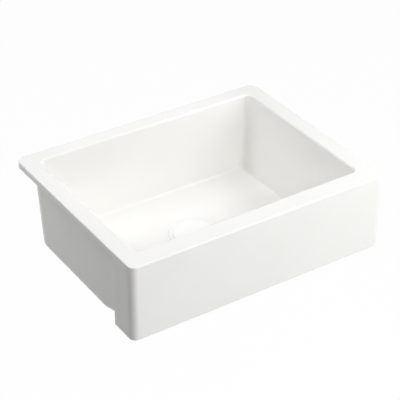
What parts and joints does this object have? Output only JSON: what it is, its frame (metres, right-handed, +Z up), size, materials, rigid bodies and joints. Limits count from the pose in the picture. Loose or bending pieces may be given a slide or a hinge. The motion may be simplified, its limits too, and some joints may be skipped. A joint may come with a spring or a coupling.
{
  "type": "apron front sink",
  "caption": "White glazed fireclay apron front kitchen sink with one deep bowl, a covered basket strainer and a straight waste tailpiece.",
  "frame": {"origin": "middle of the ledge under the back of the rim, on the plane where the rim rests on the cabinet", "axes": "+Z up, +X to the right as seen from the front, +Y to the back; the apron faces -Y"},
  "size_m": [0.61, 0.472, 0.3532],
  "materials": {
    "glaze": "gloss",
    "white_coat": "gloss",
    "black_rubber": "matte",
    "white_rubber": "matte",
    "fibre": "matte",
    "cast_brass": "satin",
    "chrome_plate": "polished",
    "stainless": "brushed",
    "white_nylon": "matte"
  },
  "bodies": {
    "sink": {"sink_body": "glaze", "strainer_body": "white_coat", "flange_gasket": "white_rubber", "rubber_washer": "black_rubber", "friction_ring": "fibre", "locknut": "cast_brass", "tailpiece_washer": "white_nylon", "tailpiece": "chrome_plate", "coupling_nut": "chrome_plate"},
    "basket": {"basket": "stainless", "basket_bush": "white_nylon"},
    "stopper": {"stopper_post": "stainless", "stopper_knob": "stainless", "stopper_disc": "stainless", "stopper_seal": "black_rubber", "post_washer": "stainless", "post_nut": "stainless"},
    "cover": {"drain_cover": "white_coat", "cover_feet": "black_rubber"}
  },
  "joints": [
    {"name": "basket_lift", "type": "slide", "parent": "sink", "child": "basket", "axis": [0, 0, 1], "range_m": [0, 0.25]},
    {"name": "stopper_lift", "type": "slide", "parent": "basket", "child": "stopper", "axis": [0, 0, 1], "range_m": [0, 0.0065]},
    {"name": "cover_lift", "type": "slide", "parent": "basket", "child": "cover", "axis": [0, 0, 1], "range_m": [0, 0.2]}
  ]
}
